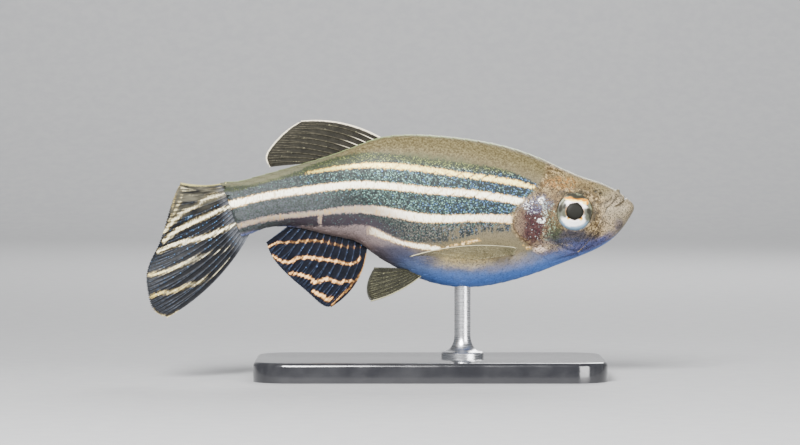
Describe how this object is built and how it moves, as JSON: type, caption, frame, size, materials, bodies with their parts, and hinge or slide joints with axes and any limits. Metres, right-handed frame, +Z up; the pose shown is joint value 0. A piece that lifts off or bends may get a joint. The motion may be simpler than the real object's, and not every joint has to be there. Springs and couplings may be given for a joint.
{
  "type": "zebra danio",
  "caption": "Still life-size model of a small striped aquarium fish, plump, swimming with its tail swept aside, held over a flat base by one slim rod.",
  "frame": {"origin": "centre of the flat underside of the stand's base", "axes": "+X towards the snout, -Y towards the fish's right flank, +Z up"},
  "size_m": [0.0388, 0.016, 0.0207],
  "materials": {
    "body_skin": "satin scaled skin, pale and blue-grey stripes",
    "head_skin": "satin skin, olive and golden, freckled",
    "fins": "thin rayed membrane with pale bands",
    "eyes": "clear gloss over silver iris and dark pupil",
    "stand_base": "black, polished",
    "stand_rod": "satin"
  },
  "bodies": {
    "root": {"head": "head_skin", "lower_jaw": "head_skin", "gill_cover_right": "head_skin", "gill_cover_left": "head_skin", "trunk": "body_skin", "tail": "body_skin", "tail_fin": "fins", "dorsal_fin": "fins", "anal_fin": "fins", "pectoral_fin_right": "fins", "pectoral_fin_left": "fins", "pelvic_fin_right": "fins", "pelvic_fin_left": "fins", "snout_barbel_right": "fins", "snout_barbel_left": "fins", "mouth_barbel_right": "fins", "mouth_barbel_left": "fins", "eye_right": "eyes", "eye_left": "eyes", "stand_base": "stand_base", "stand_rod": "stand_rod"}
  },
  "joints": []
}
